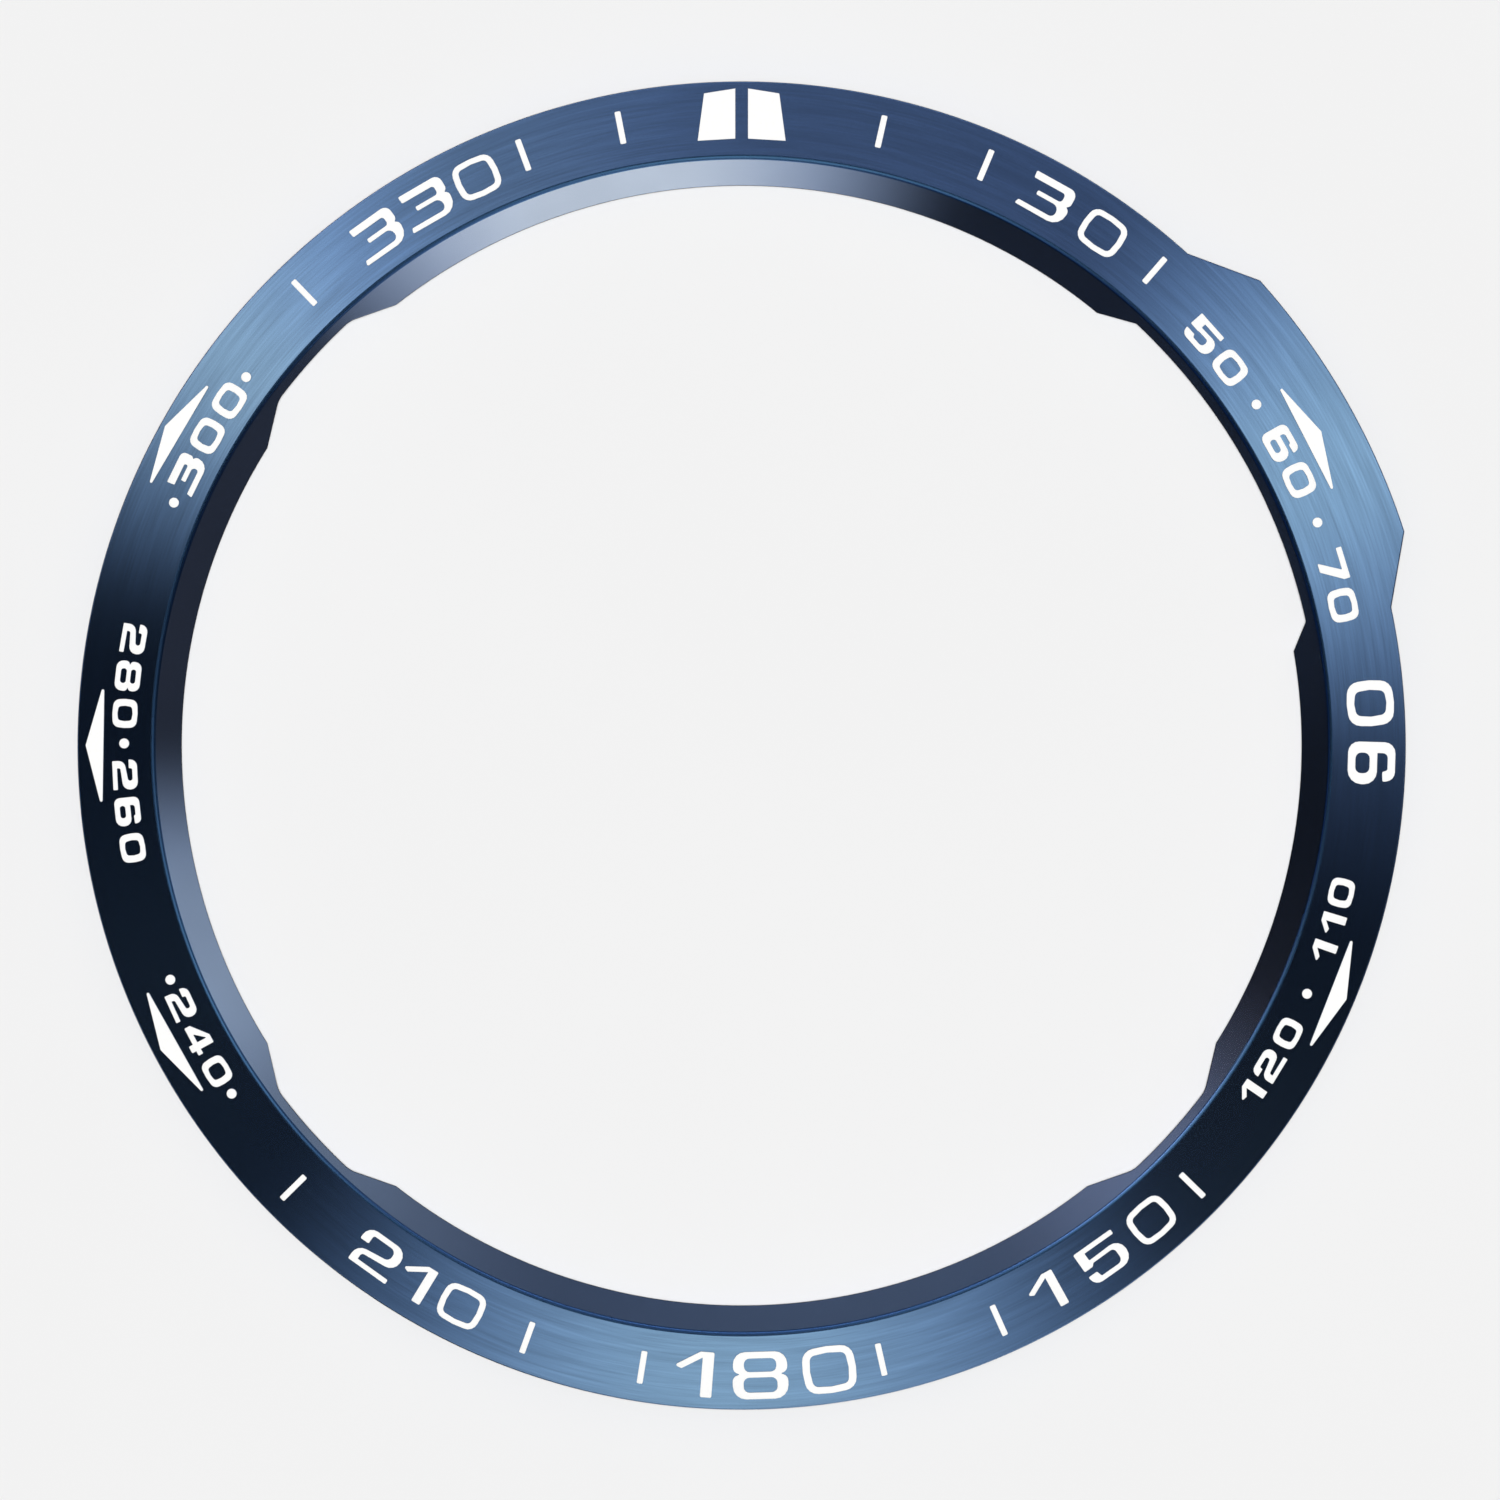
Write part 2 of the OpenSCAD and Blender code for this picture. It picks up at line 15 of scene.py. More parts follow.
import bmesh
import bpy
import numpy as np
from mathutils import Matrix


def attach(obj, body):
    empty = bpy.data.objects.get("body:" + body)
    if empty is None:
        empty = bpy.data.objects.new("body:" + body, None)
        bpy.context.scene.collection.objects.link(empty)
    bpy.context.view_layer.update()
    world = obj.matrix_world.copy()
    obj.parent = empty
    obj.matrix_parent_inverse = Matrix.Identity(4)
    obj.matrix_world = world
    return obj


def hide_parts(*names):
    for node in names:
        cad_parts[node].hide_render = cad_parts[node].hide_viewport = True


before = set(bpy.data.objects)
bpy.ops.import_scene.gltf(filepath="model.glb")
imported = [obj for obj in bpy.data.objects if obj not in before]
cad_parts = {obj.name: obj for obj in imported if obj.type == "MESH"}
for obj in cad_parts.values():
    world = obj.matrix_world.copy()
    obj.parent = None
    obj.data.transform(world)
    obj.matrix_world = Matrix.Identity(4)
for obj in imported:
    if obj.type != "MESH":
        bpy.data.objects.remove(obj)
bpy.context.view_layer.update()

LOG = logging.getLogger("bezel")
MM = 0.001
DEGREES_PER_RADIAN = 180.0 / math.pi
ROOT_BODY = "root"
RING_NODE = "bezel_ring"
TAPE_NODE = "adhesive_tape"

# Cosine below which a straight edge of the plan counts as never met
GRAZING = 0.01
# Weight of the largest faces where a smooth surface's normals are averaged
LARGE_FACES_LEAD = 100
# Range that the values of a noise texture mostly keep to
NOISE_LOW, NOISE_HIGH = 0.3, 0.7
BLACK = (0.0, 0.0, 0.0, 1.0)

# A point of a section, as radius and height
SectionPoint = tuple[float, float]
Colour = tuple[float, float, float]
OpaqueColour = tuple[float, float, float, float]
NodeInput = Union[bpy.types.NodeSocket, float, Sequence[float]]


class Zone(Enum):
    """Where on the ring a face lies, which decides its finish and how far its colour is painted lighter or
    darker than the face's.
    """

    BRUSHED_FACE = 0
    TURNED_WALL = 1
    ROLLED_EDGE = 2
    OUTER_SIDE = 3
    UNDERSIDE = 4


def azimuth_point(radius: float, azimuth: float) -> np.ndarray:
    """Finds a point of the plan.

    Args:
        radius: Distance from the ring's axis.
        azimuth: Degrees clockwise from twelve o'clock.

    Returns:
        The point's X and Y.
    """
    angle = math.radians(azimuth)
    return np.array([radius * math.sin(angle), radius * math.cos(angle)])


def azimuth_of(point: np.ndarray) -> float:
    """Returns the azimuth of a point of the plan, in degrees."""
    return math.degrees(math.atan2(point[0], point[1]))


def wrapped(angle: float) -> float:
    """Returns an angle brought into the half turn on either side of zero, in degrees."""
    return (angle + 180.0) % 360.0 - 180.0


@dataclass(frozen=True)
class StraightEdge:
    """A straight edge of the plan, by its distance from the axis and the azimuth of its normal."""

    distance: float
    normal_azimuth: float

    @classmethod
    def through(cls, first: np.ndarray, last: np.ndarray) -> "StraightEdge":
        """Makes the edge through two points.

        Args:
            first: X and Y of one point.
            last: X and Y of the other point.

        Returns:
            The edge, with its normal pointing away from the axis.
        """
        along = (last - first) / np.linalg.norm(last - first)
        normal = np.array([along[1], -along[0]])
        distance = float(normal @ first)
        if distance < 0:
            normal, distance = -normal, -distance
        return cls(distance, azimuth_of(normal))

    def radius_at(self, azimuth: float) -> float:
        """Finds how far out the edge lies.

        Args:
            azimuth: Degrees clockwise from twelve o'clock.

        Returns:
            The distance from the axis along that azimuth, infinite where the edge isn't met.
        """
        cosine = math.cos(math.radians(azimuth - self.normal_azimuth))
        return self.distance / cosine if cosine > GRAZING else math.inf


@dataclass(frozen=True)
class Guard:
    """The bump on the rim that shields the upper right button."""

    rim_radius: float
    azimuth: float = 60.1
    reach: float = 1.17 * MM
    half_angle: float = 12.0
    ramp_angle: float = 5.9

    @property
    def outer_radius(self) -> float:
        """Returns the radius of the guard's outer arc."""
        return self.rim_radius + self.reach

    @property
    def foot_angle(self) -> float:
        """Returns the angle from the guard's middle to the foot of either ramp."""
        return self.half_angle + self.ramp_angle

    def ramp(self, side: int) -> StraightEdge:
        """Makes one of the two ramps.

        Args:
            side: -1 for the ramp towards twelve o'clock, 1 for the other.

        Returns:
            The ramp's edge in plan.
        """
        foot = azimuth_point(self.rim_radius, self.azimuth + side * self.foot_angle)
        top = azimuth_point(self.outer_radius, self.azimuth + side * self.half_angle)
        return StraightEdge.through(foot, top)

    def corners(self) -> list[float]:
        """Returns the azimuths of the guard's four corners."""
        turns = (-self.foot_angle, -self.half_angle, self.half_angle, self.foot_angle)
        return [self.azimuth + turn for turn in turns]

    def radius_at(self, azimuth: float, inset: float) -> float:
        """Finds the rim's radius, drawn in by an inset all round.

        Args:
            azimuth: Degrees clockwise from twelve o'clock.
            inset: How far inside the rim's outline, in metres.

        Returns:
            The radius in metres.
        """
        plain = self.rim_radius - inset
        if abs(wrapped(azimuth - self.azimuth)) > 2 * self.foot_angle:
            return plain
        ramps = [self.ramp(side) for side in (-1, 1)]
        lines = [StraightEdge(r.distance - inset, r.normal_azimuth).radius_at(azimuth) for r in ramps]
        return max(plain, min(self.outer_radius - inset, *lines))


@dataclass(frozen=True)
class ReliefEnd:
    """One end of a relief: its ramp, the centre of its corner, and the angles at which its parts end.

    All of them are measured from the relief's middle.
    """

    ramp: StraightEdge
    corner_centre: np.ndarray
    floor_end: float
    corner_end: float
    ramp_end: float


@dataclass(frozen=True)
class Relief:
    """A shallow notch in the edge of the opening, with straight ramps and rounded inner corners."""

    azimuth: float
    floor_half: float
    lead_ramp: float
    trail_ramp: float
    corner_radius: float
    opening_radius: float
    floor_radius: float

    def end(self, side: int) -> ReliefEnd:
        """Works out one end of the notch.

        Args:
            side: -1 for the end towards lower azimuths, 1 for the other.

        Returns:
            The end's ramp, corner and angles.
        """
        ramp_angle = self.lead_ramp if side < 0 else self.trail_ramp
        foot = azimuth_point(self.opening_radius, side * (self.floor_half + ramp_angle))
        top = azimuth_point(self.floor_radius, side * self.floor_half)
        along = (top - foot) / np.linalg.norm(top - foot)
        into = side * np.array([-along[1], along[0]])
        off = float(into @ foot) + self.corner_radius
        reach = math.sqrt((self.floor_radius - self.corner_radius) ** 2 - off ** 2)
        centre = off * into + reach * along
        tangent = centre - self.corner_radius * into
        return ReliefEnd(StraightEdge.through(foot, top), centre, azimuth_of(centre), azimuth_of(tangent),
                         azimuth_of(foot))

    def corners(self) -> list[float]:
        """Returns the azimuths at which the notch's outline changes."""
        ends = [self.end(side) for side in (-1, 1)]
        return [self.azimuth + angle for e in ends for angle in (e.floor_end, e.corner_end, e.ramp_end)]

    def radius_at(self, azimuth: float) -> float:
        """Finds the edge of the opening in this notch.

        Args:
            azimuth: Degrees clockwise from twelve o'clock.

        Returns:
            The radius in metres, the opening's own where the notch has ended.
        """
        angle = wrapped(azimuth - self.azimuth)
        side = -1 if angle < 0 else 1
        end = self.end(side)
        turned = side * angle
        if turned <= side * end.floor_end:
            return self.floor_radius
        if turned < side * end.corner_end:
            gap = math.radians(angle - azimuth_of(end.corner_centre))
            away = float(np.linalg.norm(end.corner_centre))
            return away * math.cos(gap) + math.sqrt(self.corner_radius ** 2 - (away * math.sin(gap)) ** 2)
        if turned < side * end.ramp_end:
            return end.ramp.radius_at(angle)
        return self.opening_radius


def polar_solid(name: str, azimuths: Sequence[float], loops: Sequence[Sequence[SectionPoint]],
                finishes: Sequence[int]) -> bpy.types.Object:
    """Makes a closed ring from one section per azimuth.

    Args:
        name: Name of the piece.
        azimuths: Azimuths of the sections, in rising order, once round.
        loops: For each azimuth the section's points as radius and height, all with the same count.
        finishes: The material index of the face after each point of a section.

    Returns:
        The ring as an object at the origin.
    """
    count = len(loops[0])
    turns = len(azimuths)
    angles = np.radians(np.array(azimuths))[:, None]
    sections = np.array(loops)
    radii, heights = sections[..., 0], sections[..., 1]
    points = np.stack([radii * np.sin(angles), radii * np.cos(angles), heights], -1)
    faces = [
        (a * count + i, a * count + j, b * count + j, b * count + i)
        for a, b in ((a, (a + 1) % turns) for a in range(turns))
        for i, j in ((i, (i + 1) % count) for i in range(count))
    ]
    mesh = bpy.data.meshes.new(name)
    mesh.from_pydata(points.reshape(-1, 3).tolist(), [], faces)
    mesh.polygons.foreach_set("material_index", [*finishes] * turns)
    mesh.update()
    made = bpy.data.objects.new(name, mesh)
    bpy.context.scene.collection.objects.link(made)
    return made


def smooth_with_crisp_corners(piece: bpy.types.Object, crease: float) -> None:
    """Shades a piece smoothly, with creases where it turns sharply and flats kept flat beside their edges.

    Args:
        piece: The mesh object.
        crease: Angle in degrees above which an edge stays a crease.
    """
    fresh = bmesh.new()
    fresh.from_mesh(piece.data)
    bmesh.ops.recalc_face_normals(fresh, faces=fresh.faces)
    fresh.to_mesh(piece.data)
    fresh.free()
    piece.data.shade_smooth()
    piece.data.set_sharp_from_angle(angle=math.radians(crease))
    weighted = piece.modifiers.new("flats stay flat", "WEIGHTED_NORMAL")
    weighted.keep_sharp = True
    weighted.weight = LARGE_FACES_LEAD


def arc_between(before: SectionPoint, corner: SectionPoint, after: SectionPoint, radius: float,
                steps: int) -> list[SectionPoint]:
    """Rounds a corner of a section.

    Args:
        before: The point before the corner, as radius and height.
        corner: The corner itself.
        after: The point after the corner.
        radius: Radius of the rounding in metres.
        steps: How many faces the rounding has.

    Returns:
        The points of the arc, from the side of the point before to the side of the point after.
    """
    middle = np.array(corner)
    into = middle - np.array(before)
    into /= np.linalg.norm(into)
    out_of = np.array(after) - middle
    out_of /= np.linalg.norm(out_of)
    turn = math.atan2(into[0] * out_of[1] - into[1] * out_of[0], float(into @ out_of))
    spoke = math.copysign(radius, turn) * np.array([into[1], -into[0]])
    centre = middle - into * radius * math.tan(abs(turn) / 2) - spoke
    points = []
    for step in range(steps + 1):
        angle = turn * step / steps
        cosine, sine = math.cos(angle), math.sin(angle)
        points.append((
            float(centre[0] + spoke[0] * cosine - spoke[1] * sine),
            float(centre[1] + spoke[0] * sine + spoke[1] * cosine),
        ))
    return points


class NodeBuilder:
    """Short calls for the nodes of one material or world."""

    def __init__(self, tree: bpy.types.NodeTree) -> None:
        """Starts with an empty tree.

        Args:
            tree: The node tree to fill.
        """
        self.tree = tree
        tree.nodes.clear()

    def add(self, kind: str, inputs: dict[str | int, NodeInput] | None = None,
            **settings: object) -> bpy.types.Node:
        """Adds a node.

        Args:
            kind: The node's type.
            inputs: Socket name or number to a value, or to an output socket to link from.
            **settings: Properties of the node.

        Returns:
            The new node.
        """
        node = self.tree.nodes.new(kind)
        for key, value in settings.items():
            setattr(node, key, value)
        for key, value in (inputs or {}).items():
            if isinstance(value, bpy.types.NodeSocket):
                self.tree.links.new(value, node.inputs[key])
            else:
                node.inputs[key].default_value = value
        return node

    def place(self) -> bpy.types.NodeSocket:
        """Returns the place on the object, in metres."""
        return self.add("ShaderNodeTexCoord").outputs["Object"]

    def math(self, operation: str, *values: NodeInput) -> bpy.types.NodeSocket:
        """Adds a sum, product or other operation on numbers.

        Args:
            operation: Name of the operation.
            *values: Numbers or output sockets.

        Returns:
            The result's socket.
        """
        return self.add("ShaderNodeMath", dict(enumerate(values)), operation=operation).outputs[0]

    def vector(self, operation: str, *values: NodeInput, result: str = "Vector") -> bpy.types.NodeSocket:
        """Adds an operation on vectors.

        Args:
            operation: Name of the operation.
            *values: Vectors or output sockets.
            result: Which output of the operation is meant.

        Returns:
            The result's socket.
        """
        inputs = dict(enumerate(values))
        return self.add("ShaderNodeVectorMath", inputs, operation=operation).outputs[result]

    def noise(self, place: NodeInput, scale: float, detail: float) -> bpy.types.NodeSocket:
        """Adds a noise texture.

        Args:
            place: Where on the object, as a vector's socket.
            scale: How often the noise changes along one unit of that vector.
            detail: How many finer layers lie over the coarsest.

        Returns:
            The socket of its value.
        """
        inputs = {"Vector": place, "Scale": scale, "Detail": detail}
        return self.add("ShaderNodeTexNoise", inputs).outputs["Fac"]

    def ramp(self, value: bpy.types.NodeSocket, low: float, high: float, to_low: float = 0.0,
             to_high: float = 1.0, smooth: bool = True) -> bpy.types.NodeSocket:
        """Maps a range of numbers to another.

        Args:
            value: The number to map.
            low: Where the source range starts.
            high: Where it ends.
            to_low: Result at the start.
            to_high: Result at the end.
            smooth: Whether the change eases in and out.

        Returns:
            The mapped number's socket.
        """
        kind = "SMOOTHSTEP" if smooth else "LINEAR"
        inputs = {"Value": value, "From Min": low, "From Max": high, "To Min": to_low, "To Max": to_high}
        return self.add("ShaderNodeMapRange", inputs, interpolation_type=kind).outputs["Result"]

    def spread(self, noise: bpy.types.NodeSocket, to_low: float = 0.0,
               to_high: float = 1.0) -> bpy.types.NodeSocket:
        """Stretches a noise texture's value to a range.

        Args:
            noise: The noise texture's value.
            to_low: Result where the noise is low.
            to_high: Result where it is high.

        Returns:
            The stretched value's socket.
        """
        return self.ramp(noise, NOISE_LOW, NOISE_HIGH, to_low, to_high, smooth=False)

    def mix(self, factor: NodeInput, first: NodeInput, last: NodeInput) -> bpy.types.NodeSocket:
        """Mixes two colours.

        Args:
            factor: Share of the second colour, as a number or a socket.
            first: First colour or socket.
            last: Second colour or socket.

        Returns:
            The mixed colour's socket.
        """
        inputs = {0: factor, 6: first, 7: last}
        return self.add("ShaderNodeMix", inputs, data_type="RGBA").outputs[2]

    def surface(self, inputs: dict[str | int, NodeInput]) -> None:
        """Adds the surface shader and the material's output.

        Args:
            inputs: The shader's socket names to values or output sockets.
        """
        shader = self.add("ShaderNodeBsdfPrincipled", inputs)
        self.add("ShaderNodeOutputMaterial", {"Surface": shader.outputs[0]})


def new_material(name: str) -> tuple[bpy.types.Material, NodeBuilder]:
    """Makes an empty node material.

    Args:
        name: The material's name.

    Returns:
        The material and a builder for its nodes.
    """
    material = bpy.data.materials.new(name)
    material.use_nodes = True
    return material, NodeBuilder(material.node_tree)


def opaque(colour: Sequence[float]) -> OpaqueColour:
    """Returns a colour with full cover."""
    return (colour[0], colour[1], colour[2], 1.0)


def scaled(colour: Sequence[float], factor: float) -> OpaqueColour:
    """Returns a colour made lighter or darker by a factor, with full cover."""
    return opaque([c * factor for c in colour])


@dataclass(frozen=True)
class BrushedFinish:
    """Coated steel with fine lines in circles round the ring's axis.

    The lines spread light across themselves, so each panel of the light tent shows as a soft bright wedge.
    Wider and fainter bands, as the brush leaves them, run along the fine lines and add half of the wear.
    Worn streaks are lighter and smoother.
    """

    name: str
    colour: Colour
    roughness: float
    spread: float
    line_pitch: float = 0.07 * MM
    band_pitch: float = 0.3 * MM
    line_turns: float = 9.0
    band_turns: float = 5.0
    detail: float = 2.0
    line_share: float = 0.5
    tone_change: float = 0.07
    roughness_change: float = 0.011
    line_depth: float = 0.0006 * MM
    line_strength: float = 0.5
    # Turn of the stretched highlight from the tangent, as a share of a full turn
    highlight_turn: float = 0.25

    def along_lines(self, nodes: NodeBuilder, pitch: float, turns: float) -> bpy.types.NodeSocket:
        """Makes a position that runs slowly round the axis and quickly across the lines.

        Args:
            nodes: Builder of the material's nodes.
            pitch: Distance across the lines in which the pattern changes, in metres.
            turns: How often the pattern changes along one radian of a line.

        Returns:
            The position's socket.
        """
        place = nodes.place()
        flat = nodes.vector("MULTIPLY", place, (1.0, 1.0, 0.0))
        heading = nodes.vector("NORMALIZE", flat)
        slow = nodes.vector("MULTIPLY", heading, (turns, turns, turns))
        out = nodes.vector("LENGTH", flat, result="Value")
        height = nodes.add("ShaderNodeSeparateXYZ", {0: place}).outputs["Z"]
        across = nodes.math("DIVIDE", nodes.math("SUBTRACT", out, height), pitch)
        quick = nodes.add("ShaderNodeCombineXYZ", {"Z": across}).outputs["Vector"]
        return nodes.vector("ADD", slow, quick)

    def material(self) -> bpy.types.Material:
        """Makes the finish.

        Returns:
            A material with brushed lines in its colour, roughness and bump.
        """
        made, nodes = new_material(self.name)
        lines = nodes.noise(self.along_lines(nodes, self.line_pitch, self.line_turns), 1.0, self.detail)
        bands = nodes.noise(self.along_lines(nodes, self.band_pitch, self.band_turns), 1.0, self.detail)
        band_wear = nodes.math("MULTIPLY", bands, 1.0 - self.line_share)
        wear = nodes.math("MULTIPLY_ADD", lines, self.line_share, band_wear)
        dull = scaled(self.colour, 1.0 - self.tone_change)
        bright = scaled(self.colour, 1.0 + self.tone_change)
        rough, smooth = self.roughness + self.roughness_change, self.roughness - self.roughness_change
        bump = nodes.add("ShaderNodeBump", {
            "Height": lines, "Strength": self.line_strength, "Distance": self.line_depth,
        })
        tangent = nodes.add("ShaderNodeTangent", direction_type="RADIAL", axis="Z")
        nodes.surface({
            "Base Color": nodes.mix(nodes.spread(wear), dull, bright), "Metallic": 1.0,
            "Roughness": nodes.spread(wear, rough, smooth), "Anisotropic": self.spread,
            "Anisotropic Rotation": self.highlight_turn, "Tangent": tangent.outputs[0],
            "Normal": bump.outputs[0],
        })
        return made


@dataclass(frozen=True)
class LacquerFinish:
    """White printed lacquer, semi-gloss, with a faint unevenness of the print."""

    name: str = "white_lacquer"
    colour: Colour = (0.93, 0.93, 0.92)
    roughness: float = 0.38
    gloss: float = 0.4
    grain: float = 0.12 * MM
    detail: float = 3.0
    tone_change: float = 0.025
    roughness_change: float = 0.05
    depth: float = 0.0015 * MM
    depth_strength: float = 0.4

    def material(self) -> bpy.types.Material:
        """Makes the finish.

        Returns:
            A material with a soft unevenness in its tone and surface.
        """
        made, nodes = new_material(self.name)
        print_noise = nodes.noise(nodes.place(), 1.0 / self.grain, self.detail)
        thin = scaled(self.colour, 1.0 - self.tone_change)
        rough, smooth = self.roughness + self.roughness_change, self.roughness - self.roughness_change
        bump = nodes.add("ShaderNodeBump", {
            "Height": print_noise, "Strength": self.depth_strength, "Distance": self.depth,
        })
        nodes.surface({
            "Base Color": nodes.mix(nodes.spread(print_noise), thin, opaque(self.colour)),
            "Roughness": nodes.spread(print_noise, rough, smooth), "Specular IOR Level": self.gloss,
            "Normal": bump.outputs[0],
        })
        return made


@dataclass(frozen=True)
class FoamTapeFinish:
    """Dark grey foamed tape with fine closed pores and a tacky sheen."""

    name: str = "foam_tape"
    colour: Colour = (0.045, 0.047, 0.052)
    roughness: float = 0.62
    roughness_change: float = 0.1
    gloss: float = 0.45
    pore: float = 0.09 * MM
    pore_core: float = 0.05
    pore_wall: float = 0.45
    pore_shade: float = 0.5
    pore_depth: float = 0.0135 * MM
    depth_strength: float = 0.5
    cloud: float = 0.36 * MM
    cloud_detail: float = 4.0
    cloud_dark: float = 0.75
    cloud_light: float = 1.35

    def material(self) -> bpy.types.Material:
        """Makes the finish.

        Returns:
            A material with painted shade in its pores' colour, and pores in its bump.
        """
        made, nodes = new_material(self.name)
        place = nodes.place()
        cells = nodes.add("ShaderNodeTexVoronoi", {"Vector": place, "Scale": 1.0 / self.pore})
        pores = cells.outputs["Distance"]
        cloud = nodes.noise(place, 1.0 / self.cloud, self.cloud_detail)
        dark = scaled(self.colour, self.cloud_dark)
        light = scaled(self.colour, self.cloud_light)
        mottled = nodes.mix(cloud, dark, light)
        # Painted shade: the colour darkens towards each pore's core, as if its hollow lay in shade.
        wall = nodes.ramp(pores, self.pore_core, self.pore_wall)
        smooth, rough = self.roughness - self.roughness_change, self.roughness + self.roughness_change
        bump = nodes.add("ShaderNodeBump", {
            "Height": pores, "Strength": self.depth_strength, "Distance": self.pore_depth,
        })
        nodes.surface({
            "Base Color": nodes.mix(wall, scaled(self.colour, self.pore_shade), mottled),
            "Roughness": nodes.spread(cloud, smooth, rough), "Specular IOR Level": self.gloss,
            "Normal": bump.outputs[0],
        })
        return made


@dataclass(frozen=True)
class PaperFinish:
    """The pale paper of the studio floor."""

    name: str = "pale_paper"
    colour: Colour = (0.8, 0.8, 0.8)
    tone_change: float = 0.01
    mottles_per_metre: float = 60.0
    detail: float = 3.0

    def material(self) -> bpy.types.Material:
        """Makes the finish.

        Returns:
            A matt material with a barely visible mottle.
        """
        made, nodes = new_material(self.name)
        mottle = nodes.noise(nodes.place(), self.mottles_per_metre, self.detail)
        dark = scaled(self.colour, 1.0 - self.tone_change)
        light = scaled(self.colour, 1.0 + self.tone_change)
        nodes.surface({
            "Base Color": nodes.mix(mottle, dark, light), "Roughness": 1.0, "Specular IOR Level": 0.0,
        })
        return made


# One blue coating covers the whole ring, and only the face keeps its own colour. The other zones hold copies
# of it: painted sheen makes the wall's lighter and paler, and painted shade makes the lip's, outer side's and
# underside's darker.
RING_FINISHES_AND_PAINTED_LIGHT = {
    Zone.BRUSHED_FACE: BrushedFinish("brushed_blue_steel", (0.145, 0.27, 0.52), 0.17, 0.93,
                                     tone_change=0.17),
    # Painted sheen: the wall's colour is the coating's, made lighter and paler.
    Zone.TURNED_WALL: BrushedFinish("turned_blue_steel_painted_sheen", (0.33, 0.43, 0.62), 0.18, 0.7, tone_change=0.05),
    # Painted shade: the lip's colour is the coating's, made darker and more saturated.
    Zone.ROLLED_EDGE: BrushedFinish("rolled_blue_steel_painted_shade", (0.05, 0.13, 0.3), 0.27, 0.4, tone_change=0.03),
    # Painted shade: the outer side's colour is the coating's, made a little darker.
    Zone.OUTER_SIDE: BrushedFinish("satin_blue_steel_painted_shade", (0.13, 0.24, 0.46), 0.36, 0.6, tone_change=0.05),
    # Painted shade: the underside's colour is the coating's, made darker still.
    Zone.UNDERSIDE: BrushedFinish("plain_blue_steel_painted_shade", (0.11, 0.2, 0.38), 0.42, 0.4, tone_change=0.06,
                                  line_pitch=0.09 * MM),
}


@dataclass(frozen=True)
class SectionCorner:
    """A corner of the ring's section, with the zones of its rounding and of the flat that follows it."""

    point: SectionPoint
    radius: float
    steps: int
    rounding: Zone
    flat: Zone
    rows: int = 1


